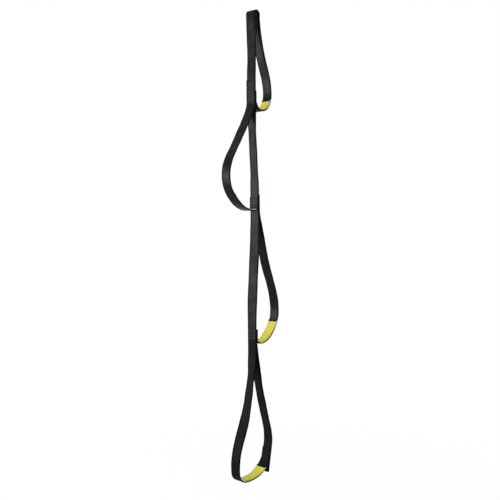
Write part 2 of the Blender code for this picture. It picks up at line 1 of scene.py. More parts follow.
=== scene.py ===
"""How the hanging webbing ladder looks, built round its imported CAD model.

Each strap is swept along a path close to that of its CAD solids, in the row frame and in
metres. The straps of steps 2, 3 and 4 part from the spine 2 to 3 mm further out than their
solids do. A ribbon is such a path. What is sewn to a strap alone is placed from that strap's
ribbon, by its run along it, its distance across it and its distance out from the strap's
middle, so linings, their tacks and their stitches follow every bend, roll and crease.
"""

import math
from bisect import bisect_right
from collections import namedtuple

import bmesh
import bpy
from mathutils import Matrix, Vector


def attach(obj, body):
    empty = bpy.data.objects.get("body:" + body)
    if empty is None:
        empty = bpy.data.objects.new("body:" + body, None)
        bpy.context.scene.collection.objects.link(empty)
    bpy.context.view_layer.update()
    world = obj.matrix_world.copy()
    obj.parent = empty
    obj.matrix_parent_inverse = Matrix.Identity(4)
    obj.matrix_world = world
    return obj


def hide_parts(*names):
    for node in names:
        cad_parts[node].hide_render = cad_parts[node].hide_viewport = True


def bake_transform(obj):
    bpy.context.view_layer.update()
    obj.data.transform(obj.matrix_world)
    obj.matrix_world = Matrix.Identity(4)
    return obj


MM = 0.001

# Webbing and linings
WEBBING_WIDTH = 25.0 * MM
WEBBING_THICKNESS = 2.16 * MM
WEBBING_EDGE = 1.5 * MM
LINING_WIDTH = 24.8 * MM
LINING_THICKNESS = 1.4 * MM
LINING_EDGE = 0.7 * MM
LAYER_PITCH = 2.3 * MM
BIGHT_RADIUS = 9.0 * MM
EYE_RADIUS = 8.0 * MM

# Heights of the three hinges and of the lowest tread, and the spine's place at each junction
HINGE_1_Z = -210.0 * MM
HINGE_2_Z = HINGE_1_Z - 238.0 * MM
HINGE_3_Z = HINGE_2_Z - 301.0 * MM
LAST_TREAD_Z = HINGE_3_Z - 294.3 * MM
JUNCTION_1_X = -8.0 * MM
JUNCTION_2_X = -0.4 * MM
JUNCTION_3_X = -14.4 * MM
STRAIGHT_BELOW_HINGE = 2.6 * MM
PART_RISE = 10.0 * MM
JUNCTION_1_STRAIGHT = 60.0 * MM
JUNCTION_2_STRAIGHT = 46.0 * MM
JUNCTION_3_STRAIGHT = 44.0 * MM

# Where one length of spine ends and the next starts, hidden inside each junction
SPLIT_1_Z = HINGE_1_Z + 20.0 * MM
SPLIT_2_Z = HINGE_2_Z + 20.0 * MM
SPLIT_3_Z = HINGE_3_Z + 20.5 * MM

# Sewn ends, as heights above the hinge of their junction
STEP_1_TAIL_TOP = 33.0 * MM
STEP_1_TAIL_FOOT = 11.5 * MM
STEP_2_HEAD_TOP = 58.0 * MM
STEP_2_TAIL_TOP = 37.0 * MM
STEP_2_TAIL_FOOT = 14.5 * MM
STEP_3_HEAD_TOP = 42.0 * MM
STEP_3_TAIL_TOP = 41.0 * MM
STEP_3_TAIL_FOOT = 17.0 * MM
STEP_4_RETURN_TOP = 41.0 * MM

# The first stretch of spine swings a little towards step 1
SPINE_1_SWING = 2.0 * MM
SPINE_1_SWING_DROP = 92.0 * MM

# Step 1, right of the spine. OUT is a distance from the spine at the step's lower junction.
STEP_1_SHOULDER_OUT = 34.2 * MM
STEP_1_SHOULDER_DROP = 96.0 * MM
STEP_1_SHOULDER_LEAN = 18.0
STEP_1_REACH = 57.2 * MM
STEP_1_REACH_RISE = 33.0 * MM
STEP_1_TREAD_OUT = 23.0 * MM
STEP_1_TREAD_SAG = 8.5 * MM

# Step 2, left of the spine
STEP_2_LEAD_OUT = 7.5 * MM
STEP_2_LEAD_DROP = 14.0 * MM
STEP_2_LEAD_LEAN = 29.0
STEP_2_SHOULDER_OUT = 57.8 * MM
STEP_2_SHOULDER_DROP = 78.5 * MM
STEP_2_SHOULDER_LEAN = 33.0
STEP_2_REACH = 96.6 * MM
STEP_2_REACH_RISE = 80.0 * MM
STEP_2_CORNER_OUT = 71.3 * MM
STEP_2_CORNER_RISE = 29.0 * MM
STEP_2_CORNER_HEADING = -43.0
STEP_2_TREAD_OUT = 18.0 * MM
STEP_2_TREAD_RISE = 6.7 * MM

# Step 3, right of the spine
STEP_3_LEAD_OUT = 4.6 * MM
STEP_3_LEAD_DROP = 15.0 * MM
STEP_3_LEAD_LEAN = 16.0
STEP_3_SHOULDER_OUT = 46.7 * MM
STEP_3_SHOULDER_DROP = 107.0 * MM
STEP_3_SHOULDER_LEAN = 17.0
STEP_3_REACH = 82.7 * MM
STEP_3_REACH_RISE = 75.0 * MM
STEP_3_CORNER_OUT = 63.4 * MM
STEP_3_CORNER_RISE = 30.0 * MM
STEP_3_CORNER_HEADING = 48.0
STEP_3_TREAD_OUT = 20.0 * MM
STEP_3_TREAD_RISE = 7.4 * MM

# Step 4, a teardrop. Drops are below the third hinge, rises above the tread.
# Its tread turns up on the right, and is sewn inside the strap that hangs there.
STEP_4_LEFT_ARM_OUT = 10.4 * MM
STEP_4_LEFT_ARM_DROP = 85.0 * MM
STEP_4_LEFT_ARM_LEAN = 11.0
STEP_4_LEFT_SHOULDER_OUT = 32.8 * MM
STEP_4_LEFT_SHOULDER_DROP = 166.0 * MM
STEP_4_LEFT_SHOULDER_LEAN = 22.0
STEP_4_LEFT_REACH = 62.9 * MM
STEP_4_LEFT_REACH_RISE = 35.0 * MM
STEP_4_LEFT_CORNER_OUT = 54.1 * MM
STEP_4_LEFT_CORNER_RISE = 8.0 * MM
STEP_4_LEFT_CORNER_HEADING = -40.0
STEP_4_TREAD_OUT = -20.2 * MM
STEP_4_RIGHT_CORNER_OUT = 32.9 * MM
STEP_4_RIGHT_CORNER_RISE = 17.8 * MM
STEP_4_RIGHT_CORNER_HEADING = 42.0
STEP_4_PART_RISE = 16.0 * MM
STEP_4_LEAD_OUT = 4.2 * MM
STEP_4_LEAD_DROP = 15.0 * MM
STEP_4_LEAD_LEAN = 9.0
STEP_4_RIGHT_SHOULDER_OUT = 38.4 * MM
STEP_4_RIGHT_SHOULDER_DROP = 153.0 * MM
STEP_4_RIGHT_SHOULDER_LEAN = 16.0
STEP_4_RIGHT_REACH = 54.2 * MM
STEP_4_RIGHT_REACH_RISE = 73.0 * MM

# Where the right strap ends, and how it overlaps the tread's end, along the strap from there
STEP_4_END_OUT = 39.8 * MM
STEP_4_END_RISE = 0.8 * MM
STEP_4_END_LEAN = 12.0
STEP_4_LAP_START = 36.0 * MM
STEP_4_LAP_TOP = 54.0 * MM

# Roll of the webbing about its own length, in degrees, at places along it
SPINE_2_ROLL = 8.0
SPINE_3_ROLL = -7.0
SPINE_ROLL_GROWTH = 60.0 * MM
ROLL_STARTS_AT = 0.5
ROLL_GONE_BY = 1.12
STEP_4_LEFT_ARM_ROLLS = (
    (45.0 * MM, 1.0),
    (88.0 * MM, 15.0),
    (140.0 * MM, 8.0),
    (195.0 * MM, -7.5),
    (228.0 * MM, -7.5),
    (262.0 * MM, -3.0),
)
STEP_4_RIGHT_ARM_ROLLS = (
    (98.0 * MM, -4.0),
    (150.0 * MM, -4.0),
    (200.0 * MM, -6.0),
    (250.0 * MM, 0.0),
)
STEP_4_TREAD_ROLL = 3.5
STEP_4_RIGHT_CORNER_ROLL = 6.0

# Each lining, as lengths of tread that it covers to the left and right of the lowest point
LINING_1_SPAN = (26.0 * MM, 45.5 * MM)
LINING_2_SPAN = (76.0 * MM, 9.0 * MM)
LINING_3_SPAN = (7.0 * MM, 78.0 * MM)
LINING_4_SPAN = (46.0 * MM, 54.0 * MM)

# Bar tacks: dense rows of thread across the webbing
TACK_WIDTH = 20.0 * MM
TACK_LENGTH = 2.8 * MM
TACK_PITCH = 0.46 * MM
TACK_THREAD = 0.26 * MM
TACK_HEIGHT = 0.42 * MM
TACK_LEAN = 0.18 * MM
TACK_DROP_RATE = 3.5
TACK_DROP_START = 2.5
TACK_END_MARGIN = 3.5 * MM
LINING_TACK_LENGTH = 5.4 * MM
LINING_TACK_MARGIN = 1.9 * MM
LINING_TACK_WIDTH = 24.6 * MM

# Stitches along both edges of each lining
STITCH_LENGTH = 2.7 * MM
STITCH_PITCH = 3.5 * MM
STITCH_THREAD = 0.24 * MM
STITCH_HEIGHT = 0.16 * MM
STITCH_DIP = 0.3 * MM
STITCH_INSET = 2.0 * MM
STITCH_CLEAR_OF_TACK = 6.5 * MM

# How finely things are divided
BEND_SAMPLES = 96
BEND_HANDLE = 0.38
LEAST_STEP = 1e-7
ROW_TURN = 4.0
ROW_STEP = 4.0 * MM
FACE_POINTS = 21
EDGE_POINTS = 4
THREAD_SIDES = 6
THREAD_END_SHARE = 0.5
TACK_POINTS = 7
STITCH_POINTS = 6

# Lengthwise ribs of the webbing, and the heat-sealed look of its cut ends
RIB_COUNT = 4.0
RIB_RELIEF = 0.07 * MM
SEAL_DEPTH = 0.7 * MM
SEAL_TAPER = 0.55
SEAL_SHOULDER = 0.3
SEAL_SHOULDER_SHARE = 0.9
SEAL_REACH = 2.2 * MM
# How far from a lining's end the painted highlight on its side walls reaches
END_HIGHLIGHT_REACH = 32.0 * MM

# Faint creases, which die away towards the sewn stretches
CREASE_HEIGHT = 0.30 * MM
CREASE_LENGTH = 83.0 * MM
CREASE_SKEW = 62.0 * MM
SMALL_CREASE_HEIGHT = 0.14 * MM
SMALL_CREASE_LENGTH = 31.0 * MM
SMALL_CREASE_SKEW = -45.0 * MM
CREASE_FADE = 30.0 * MM

# The weave
WEAVE_MAP = "weave"
WEAVE_COLUMN = 1.25 * MM
WEAVE_PICK = 1.7 * MM
WEAVE_SLANT = 0.9
WEAVE_BUMP = 0.028 * MM
FLOAT_SWELL = 0.65
FIBRE_RELIEF = 0.2
LINING_COLUMN = 1.0 * MM
LINING_PICK = 1.2 * MM

# Noises over a strap: how far each is drawn out along the strap, and its scale
WEBBING_FIBRES = (6.0, 2600.0)
WEBBING_CLOUDS = (3.0, 60.0)
WEBBING_STREAKS = (40.0, 380.0)
LINING_FIBRES = (5.0, 2400.0)
LINING_CLOUDS = (2.0, 90.0)
LINING_STREAKS = (30.0, 420.0)
THREAD_TWIST_SCALE = 3000.0

# Where a strap's edge starts and is fully there, as shares of the way from middle to edge
SELVAGE = (0.64, 0.84)
# Painted shade: over this span the lining turns olive towards both its edges
LINING_SHADE_SPAN = (0.66, 0.96)
# Where the lining's side walls carry painted shade, turning to a painted highlight near its ends
LINING_PAINTED_SIDES = (0.955, 0.985)
STRIPE_PITCH = 6.2 * MM

# How much each thing adds to a tone, which runs from 0 for the low colour to 1 for the high one
WEBBING_WEAVE_TONE = 0.45
WEBBING_FIBRE_TONE = 0.35
WEBBING_STRIPE_TONE = 0.12
WEBBING_CLOUD_TONE = 0.3
SELVAGE_DARKENING = 0.3
SEAL_DARKENING = 0.5
LINING_WEAVE_TONE = 0.22
LINING_FIBRE_TONE = 0.2
LINING_CLOUD_TONE = 0.25
LINING_STREAK_TONE = 0.5
# Painted shade: how far the lining turns olive towards its edges
LINING_EDGE_SHADE = 0.55

# Roughness and specular level of the webbing. The lowest loop, scuffed most, is duller.
SMOOTH_WEBBING = (0.31, 0.075)
WORN_WEBBING = (0.50, 0.045)

# How much each thing adds to the roughness, and the other surfaces' own values
SELVAGE_ROUGHENING = 0.40
STRIPE_ROUGHENING = -0.05
STREAK_ROUGHENING = -0.22
FIBRE_ROUGHENING = 0.08
SEAL_SMOOTHING = 0.25
LINING_ROUGHNESS = 0.6
LINING_FIBRE_ROUGHENING = 0.15
LINING_SPECULAR = 0.25
LINING_SHEEN = 0.08
LINING_SHEEN_ROUGHNESS = 0.5
THREAD_ROUGHNESS = 0.35
THREAD_TWIST_ROUGHENING = 0.2
THREAD_TWIST_BUMP = 0.04 * MM
THREAD_SPECULAR = 0.1

# Colours
BLACK_LOW = (0.0009, 0.0013, 0.0016, 1.0)
BLACK_HIGH = (0.0046, 0.0058, 0.0066, 1.0)
YELLOW_LOW = (0.33, 0.308, 0.024, 1.0)
# Painted shade for the lining's edges
YELLOW_PAINTED_SHADE = (0.22, 0.21, 0.045, 1.0)
# Painted shade on the lining's side walls
YELLOW_SIDE_SHADE = (0.060, 0.057, 0.014, 1.0)
# Painted highlight on the lining's side walls near its ends
YELLOW_END_HIGHLIGHT = (0.940, 0.925, 0.800, 1.0)
YELLOW_HIGH = (0.60, 0.555, 0.062, 1.0)
THREAD_LOW = (0.003, 0.003, 0.003, 1.0)
THREAD_HIGH = (0.012, 0.012, 0.011, 1.0)
YELLOW_THREAD_LOW = (0.300, 0.280, 0.030, 1.0)
YELLOW_THREAD_HIGH = (0.560, 0.530, 0.080, 1.0)
# Junction tack thread: grey, lightened by a painted highlight
GREY_SHEEN_THREAD_LOW = (0.010, 0.010, 0.011, 1.0)
GREY_SHEEN_THREAD_HIGH = (0.055, 0.056, 0.058, 1.0)
COOL_GLOSS = (0.88, 0.96, 1.0, 1.0)
WHITE = (1.0, 1.0, 1.0, 1.0)
FLOOR_COLOUR = (0.86, 0.86, 0.85, 1.0)

# Camera, in the picture's 500 x 500 pixels
PICTURE_SIZE = 500.0
FOCAL_PIXELS = 711.1
SENSOR = 36.0
CAMERA_DISTANCE = 1.6
CAMERA_AZIMUTH = -51.0
CAMERA_Z = -0.4628
CAMERA_PITCH = -2.416
CAMERA_ROLL = -0.62
AXIS_COLUMN = 255.4

# Stage. The floor glows by FLOOR_GLOW near its middle, and fully further out.
FLOOR_Z = -1.25
FLOOR_RADIUS = 2.4
FLOOR_SEGMENTS = 96
FLOOR_ROUGHNESS = 0.9
FLOOR_GLOW = 0.95
FLOOR_GLOW_FROM = 0.1 * FLOOR_RADIUS
FLOOR_GLOW_FULL = 0.6 * FLOOR_RADIUS
AMBIENT = 0.40

# Lamps: name, azimuth, elevation, distance, height of the aim point, size, power
LAMPS = (
    ("side_lamp", -126.0, 0.0, 1.7, -0.36, 1.0, 35.0),
    ("key_lamp", -48.0, 25.0, 2.2, -0.50, 1.0, 14.0),
    ("top_lamp", 60.0, 78.0, 2.4, -0.55, 1.2, 22.0),
)

DOWN = -90.0
LEVEL = 0.0
UP = 90.0
RIGHT_TO_LEFT = 180.0

Knot = namedtuple("Knot", "x z heading roll", defaults=(0.0,))
Station = namedtuple("Station", "x z heading roll run")


def direction(heading):
    """Unit vector in the plane of X and Z, for an angle in degrees from +X towards +Z."""
    angle = math.radians(heading)
    return Vector((math.cos(angle), math.sin(angle)))


def smooth(share):
    """0 below 0, 1 above 1, and a smooth rise between."""
    share = min(max(share, 0.0), 1.0)
    return share * share * (3.0 - 2.0 * share)


def bend(start, end):
    """The smooth bend from one knot to the next, as (x, z, heading, roll) at even parameters."""
    a = Vector((start.x, start.z))
    d = Vector((end.x, end.z))
    reach = (d - a).length * BEND_HANDLE
    b = a + direction(start.heading) * reach
    c = d - direction(end.heading) * reach
    samples = []
    for i in range(BEND_SAMPLES + 1):
        t = i / BEND_SAMPLES
        u = 1 - t
        point = a * u**3 + b * 3 * u * u * t + c * 3 * u * t * t + d * t**3
        slope = (b - a) * u * u + (c - b) * 2 * u * t + (d - c) * t * t
        roll = start.roll + (end.roll - start.roll) * smooth(t)
        samples.append((point.x, point.y, math.degrees(math.atan2(slope.y, slope.x)), roll))
    return samples


def turn_from(a, b):
    """The turn from one heading to another, in degrees, from -180 to 180."""
    return (b - a + 180.0) % 360.0 - 180.0


def mixed(a, b, share):
    """The station that lies this share of the way from one station to the next."""
    return Station(
        a.x + (b.x - a.x) * share,
        a.z + (b.z - a.z) * share,
        a.heading + turn_from(a.heading, b.heading) * share,
        a.roll + (b.roll - a.roll) * share,
        a.run + (b.run - a.run) * share,
    )


class Ribbon:
    """The middle line of a strap, and the places on and beside the strap."""

    def __init__(self, knots, creased=True):
        self.stations = []
        self.knot_runs = [0.0]
        run = 0.0
        for start, end in zip(knots, knots[1:]):
            for x, z, heading, roll in bend(start, end):
                if self.stations:
                    last = self.stations[-1]
                    step = math.hypot(x - last.x, z - last.z)
                    if step < LEAST_STEP:
                        continue
                    run += step
                self.stations.append(Station(x, z, heading, roll, run))
            self.knot_runs.append(run)
        self.runs = [station.run for station in self.stations]
        self.length = run
        self.creased = creased

    def station(self, run):
        after = min(max(bisect_right(self.runs, run), 1), len(self.runs) - 1)
        a = self.stations[after - 1]
        b = self.stations[after]
        return mixed(a, b, (run - a.run) / (b.run - a.run))

    def crease(self, run, across):
        """How far the webbing lies off its path here. The sewn first and last stretches are flat."""
        if not self.creased:
            return 0.0
        clear = min(run - self.knot_runs[1], self.knot_runs[-2] - run)
        wave = math.sin(math.tau * (run / CREASE_LENGTH + across / CREASE_SKEW))
        ripple = math.sin(math.tau * (run / SMALL_CREASE_LENGTH + across / SMALL_CREASE_SKEW))
        height = CREASE_HEIGHT * wave + SMALL_CREASE_HEIGHT * ripple
        return height * smooth(clear / CREASE_FADE)

    def place(self, run, across, out):
        """The point this far along the strap, across it, and out from its middle, inwards."""
        station = self.station(run)
        angle = math.radians(station.heading)
        roll = math.radians(station.roll)
        inward = Vector((-math.sin(angle), 0.0, math.cos(angle)))
        width = Vector((0.0, 1.0, 0.0))
        rolled_inward = inward * math.cos(roll) - width * math.sin(roll)
        rolled_width = width * math.cos(roll) + inward * math.sin(roll)
        middle = Vector((station.x, 0.0, station.z))
        lift = out + self.crease(run, across)
        return middle + rolled_inward * lift + rolled_width * across

    def rows(self, start, end):
        """Runs from start to end, close enough together for the bends between them."""
        chosen = [start]
        heading = self.station(start).heading
        for station in self.stations:
            if not start < station.run < end:
                continue
            far = station.run - chosen[-1] > ROW_STEP
            if far or abs(turn_from(heading, station.heading)) > ROW_TURN:
                chosen.append(station.run)
                heading = station.heading
        if end - chosen[-1] < SEAL_DEPTH and len(chosen) > 1:
            chosen.pop()
        return chosen + [end]


def main_path():
    """From step 1's tail round its tread, up its arm, over the eye and down the spine."""
    tail_x = JUNCTION_1_X + LAYER_PITCH
    bight_z = -EYE_RADIUS
    return [
        Knot(tail_x, HINGE_1_Z + STEP_1_TAIL_TOP, DOWN),
        Knot(tail_x, HINGE_1_Z + STEP_1_TAIL_FOOT, DOWN),
        Knot(JUNCTION_1_X + STEP_1_TREAD_OUT, HINGE_1_Z - STEP_1_TREAD_SAG, LEVEL),
        Knot(JUNCTION_1_X + STEP_1_REACH, HINGE_1_Z + STEP_1_REACH_RISE, UP),
        Knot(
            JUNCTION_1_X + STEP_1_SHOULDER_OUT,
            -STEP_1_SHOULDER_DROP,
            UP + STEP_1_SHOULDER_LEAN,
        ),
        Knot(BIGHT_RADIUS, bight_z, UP),
        Knot(0.0, bight_z + BIGHT_RADIUS, RIGHT_TO_LEFT),
        Knot(-BIGHT_RADIUS, bight_z, DOWN),
        Knot(JUNCTION_1_X + SPINE_1_SWING, -SPINE_1_SWING_DROP, DOWN),
        Knot(JUNCTION_1_X, HINGE_1_Z + JUNCTION_1_STRAIGHT, DOWN),
        Knot(JUNCTION_1_X, SPLIT_1_Z, DOWN),
    ]


def spine_path(top_x, top_z, top_hinge_z, bottom_x, straight_z, bottom_z):
    """A stretch of spine from inside one junction to inside the next."""
    return [
        Knot(top_x, top_z, DOWN),
        Knot(top_x, top_hinge_z - STRAIGHT_BELOW_HINGE, DOWN),
        Knot(bottom_x, straight_z, DOWN),
        Knot(bottom_x, bottom_z, DOWN),
    ]


def rolled(ribbon, places):
    """The ribbon, rolled smoothly from each (run, roll) to the next, and flat well past both ends."""
    first = (places[0][0] * ROLL_STARTS_AT, 0.0)
    last = (places[-1][0] * ROLL_GONE_BY, 0.0)
    places = [first, *places, last]
    for (run_a, roll_a), (run_b, roll_b) in zip(places, places[1:]):
        for i, station in enumerate(ribbon.stations):
            if run_a <= station.run < run_b:
                share = smooth((station.run - run_a) / (run_b - run_a))
                roll = station.roll + roll_a + (roll_b - roll_a) * share
                ribbon.stations[i] = station._replace(roll=roll)
    return ribbon


def rolled_between_junctions(ribbon, roll):
    """The ribbon with its middle rolled, and its ends flat where they are sewn."""
    start, end = ribbon.knot_runs[1], ribbon.knot_runs[-2]
    for i, station in enumerate(ribbon.stations):
        clear = min(station.run - start, end - station.run)
        share = smooth(clear / SPINE_ROLL_GROWTH)
        ribbon.stations[i] = station._replace(roll=roll * share)
    return ribbon


def step_2_path():
    """From the sewn head down the left arm, along the tread and up the sewn tail."""
    head_x = JUNCTION_1_X - LAYER_PITCH
    tail_x = JUNCTION_2_X - LAYER_PITCH
    return [
        Knot(head_x, HINGE_1_Z + STEP_2_HEAD_TOP, DOWN),
        Knot(head_x, HINGE_1_Z + PART_RISE, DOWN),
        Knot(
            head_x - STEP_2_LEAD_OUT,
            HINGE_1_Z - STEP_2_LEAD_DROP,
            DOWN - STEP_2_LEAD_LEAN,
        ),
        Knot(
            JUNCTION_2_X - STEP_2_SHOULDER_OUT,
            HINGE_1_Z - STEP_2_SHOULDER_DROP,
            DOWN - STEP_2_SHOULDER_LEAN,
        ),
        Knot(JUNCTION_2_X - STEP_2_REACH, HINGE_2_Z + STEP_2_REACH_RISE, DOWN),
        Knot(
            JUNCTION_2_X - STEP_2_CORNER_OUT,
            HINGE_2_Z + STEP_2_CORNER_RISE,
            STEP_2_CORNER_HEADING,
        ),
        Knot(JUNCTION_2_X - STEP_2_TREAD_OUT, HINGE_2_Z + STEP_2_TREAD_RISE, LEVEL),
        Knot(tail_x, HINGE_2_Z + STEP_2_TAIL_FOOT, UP),
        Knot(tail_x, HINGE_2_Z + STEP_2_TAIL_TOP, UP),
    ]


def step_3_path():
    """From the sewn tail along the tread, up the right arm and up the sewn head."""
    head_x = JUNCTION_2_X + LAYER_PITCH
    tail_x = JUNCTION_3_X + 2 * LAYER_PITCH
    return [
        Knot(tail_x, HINGE_3_Z + STEP_3_TAIL_TOP, DOWN),
        Knot(tail_x, HINGE_3_Z + STEP_3_TAIL_FOOT, DOWN),
        Knot(JUNCTION_3_X + STEP_3_TREAD_OUT, HINGE_3_Z + STEP_3_TREAD_RISE, LEVEL),
        Knot(
            JUNCTION_3_X + STEP_3_CORNER_OUT,
            HINGE_3_Z + STEP_3_CORNER_RISE,
            STEP_3_CORNER_HEADING,
        ),
        Knot(JUNCTION_3_X + STEP_3_REACH, HINGE_3_Z + STEP_3_REACH_RISE, UP),
        Knot(
            JUNCTION_3_X + STEP_3_SHOULDER_OUT,
            HINGE_2_Z - STEP_3_SHOULDER_DROP,
            UP + STEP_3_SHOULDER_LEAN,
        ),
        Knot(head_x + STEP_3_LEAD_OUT, HINGE_2_Z - STEP_3_LEAD_DROP, UP + STEP_3_LEAD_LEAN),
        Knot(head_x, HINGE_2_Z + PART_RISE, UP),
        Knot(head_x, HINGE_2_Z + STEP_3_HEAD_TOP, UP),
    ]


def lap_knot(along, layer):
    """A place on the straight overlap at step 4's right, this far above the right strap's end."""
    heading = UP - STEP_4_END_LEAN
    end = Vector((JUNCTION_3_X + STEP_4_END_OUT, LAST_TREAD_Z + STEP_4_END_RISE))
    place = end + direction(heading) * along + direction(heading + UP) * layer
    return Knot(place.x, place.y, heading)


def step_4_path():
    """Down the left arm, along the lowest tread, and up to its sewn end on the right."""
    middle = JUNCTION_3_X
    return [
        Knot(middle, SPLIT_3_Z, DOWN),
        Knot(middle, HINGE_3_Z - STRAIGHT_BELOW_HINGE, DOWN),
        Knot(
            middle - STEP_4_LEFT_ARM_OUT,
            HINGE_3_Z - STEP_4_LEFT_ARM_DROP,
            DOWN - STEP_4_LEFT_ARM_LEAN,
        ),
        Knot(
            middle - STEP_4_LEFT_SHOULDER_OUT,
            HINGE_3_Z - STEP_4_LEFT_SHOULDER_DROP,
            DOWN - STEP_4_LEFT_SHOULDER_LEAN,
        ),
        Knot(middle - STEP_4_LEFT_REACH, LAST_TREAD_Z + STEP_4_LEFT_REACH_RISE, DOWN),
        Knot(
            middle - STEP_4_LEFT_CORNER_OUT,
            LAST_TREAD_Z + STEP_4_LEFT_CORNER_RISE,
            STEP_4_LEFT_CORNER_HEADING,
        ),
        Knot(middle + STEP_4_TREAD_OUT, LAST_TREAD_Z, LEVEL, STEP_4_TREAD_ROLL),
        Knot(
            middle + STEP_4_RIGHT_CORNER_OUT,
            LAST_TREAD_Z + STEP_4_RIGHT_CORNER_RISE,
            STEP_4_RIGHT_CORNER_HEADING,
            STEP_4_RIGHT_CORNER_ROLL,
        ),
        lap_knot(STEP_4_LAP_START, LAYER_PITCH),
        lap_knot(STEP_4_LAP_TOP, LAYER_PITCH),
    ]


def step_4_right_path():
    """From the right strap's lower end up past the overlap and up to its sewn end."""
    middle = JUNCTION_3_X
    return_x = JUNCTION_3_X + LAYER_PITCH
    return [
        lap_knot(0.0, 0.0),
        lap_knot(STEP_4_LAP_TOP, 0.0),
        Knot(middle + STEP_4_RIGHT_REACH, LAST_TREAD_Z + STEP_4_RIGHT_REACH_RISE, UP),
        Knot(
            middle + STEP_4_RIGHT_SHOULDER_OUT,
            HINGE_3_Z - STEP_4_RIGHT_SHOULDER_DROP,
            UP + STEP_4_RIGHT_SHOULDER_LEAN,
        ),
        Knot(return_x + STEP_4_LEAD_OUT, HINGE_3_Z - STEP_4_LEAD_DROP, UP + STEP_4_LEAD_LEAN),
        Knot(return_x, HINGE_3_Z + STEP_4_PART_RISE, UP),
        Knot(return_x, HINGE_3_Z + STEP_4_RETURN_TOP, UP),
    ]


def strap_outline(width, thickness, edge, ribs, relief):
    """The outline of a strap's cut end, as (across, out) points that go round it once."""
    flat = width / 2 - edge
    points = []
    for i in range(FACE_POINTS):
        across = flat * (2 * i / (FACE_POINTS - 1) - 1)
        rib = relief * (math.cos(math.tau * ribs * across / width) - 1)
        points.append((across, thickness / 2 + rib))
    for i in range(1, EDGE_POINTS + 1):
        angle = math.pi * (0.5 - i / (EDGE_POINTS + 1))
        points.append((flat + edge * math.cos(angle), thickness / 2 * math.sin(angle)))
    return points + [(-across, -out) for across, out in points]


def mesh_object(name, build, material):
    """A finished object from a bmesh, with its faces turned outwards and shaded smooth."""
    bmesh.ops.recalc_face_normals(build, faces=build.faces)
    for face in build.faces:
        face.smooth = True
    data = bpy.data.meshes.new(name)
    build.to_mesh(data)
    build.free()
    data.materials.append(material)
    item = bpy.data.objects.new(name, data)
    bpy.context.scene.collection.objects.link(item)
    return item


def end_rows(ribbon, start, end, sealed):
    """Each row's run, and its thickness as a share of the whole: a sealed end is thinner."""
    rows = [(run, 1.0) for run in ribbon.rows(start, end)]
    seal = ((0.0, SEAL_TAPER), (SEAL_DEPTH * SEAL_SHOULDER, SEAL_SHOULDER_SHARE), (SEAL_DEPTH, 1.0))
    if sealed[0]:
        rows[0:1] = [(start + depth, share) for depth, share in seal]
    if sealed[1]:
        rows[-1:] = [(end - depth, share) for depth, share in reversed(seal)]
    return rows


def swept(name, ribbon, start, end, outline, material, offset=0.0, sealed=(True, True)):
    """A closed strap: the outline carried along a ribbon, with its lengths as its UV map."""
    build = bmesh.new()
    weave = build.loops.layers.uv.new(WEAVE_MAP)
    edge_share = build.verts.layers.float.new("edge_share")
    seal_share = build.verts.layers.float.new("seal_share")
    end_highlight_share = build.verts.layers.float.new("end_highlight_share")
    widest = max(across for across, out in outline)
    steps = [math.dist(a, b) for a, b in zip(outline, outline[1:] + outline[:1])]
    around = [sum(steps[:i]) for i in range(len(outline) + 1)]
    rows = end_rows(ribbon, start, end, sealed)
    rings = []
    for run, share in rows:
        nearest = min(
            run - start if sealed[0] else ribbon.length, end - run if sealed[1] else ribbon.length
        )
        ring = []
        for across, out in outline:
            vertex = build.verts.new(ribbon.place(run, across, offset + out * share))
            vertex[edge_share] = abs(across) / widest
            vertex[seal_share] = 1.0 - smooth(nearest / SEAL_REACH)
            # Nearness to an end, which brings in the painted highlight on a lining's side walls
            vertex[end_highlight_share] = 1.0 - smooth(nearest / END_HIGHLIGHT_REACH)
            ring.append(vertex)
        rings.append(ring)
    count = len(outline)
    for (run_a, _), (run_b, _), ring_a, ring_b in zip(rows, rows[1:], rings, rings[1:]):
        for i in range(count):
            j = (i + 1) % count
            face = build.faces.new((ring_a[i], ring_a[j], ring_b[j], ring_b[i]))
            corners = (
                (around[i], run_a),
                (around[i + 1], run_a),
                (around[i + 1], run_b),
                (around[i], run_b),
            )
            for loop, corner in zip(face.loops, corners):
                loop[weave].uv = corner
    for ring, run in ((rings[0], rows[0][0]), (rings[-1], rows[-1][0])):
        cap = build.faces.new(ring)
        for loop, (across, out) in zip(cap.loops, outline):
            loop[weave].uv = (across, run + out)
    return mesh_object(name, build, material)


def add_thread(build, points, thickness, out_axis):
    """A short piece of thread through the points, as a closed tube with small ends."""
    rings = []
    last = len(points) - 1
    for i, point in enumerate(points):
        along = (points[min(i + 1, last)] - points[max(i - 1, 0)]).normalized()
        side = along.cross(out_axis).normalized()
        up = side.cross(along).normalized()
        radius = thickness if 0 < i < last else thickness * THREAD_END_SHARE
        ring = []
        for k in range(THREAD_SIDES):
            angle = math.tau * k / THREAD_SIDES
            ring.append(
                build.verts.new(point + (side * math.cos(angle) + up * math.sin(angle)) * radius)
            )
        rings.append(ring)
    for ring_a, ring_b in zip(rings, rings[1:]):
        for k in range(THREAD_SIDES):
            n = (k + 1) % THREAD_SIDES
            build.faces.new((ring_a[k], ring_a[n], ring_b[n], ring_b[k]))
    build.faces.new(rings[0])
    build.faces.new(rings[-1])


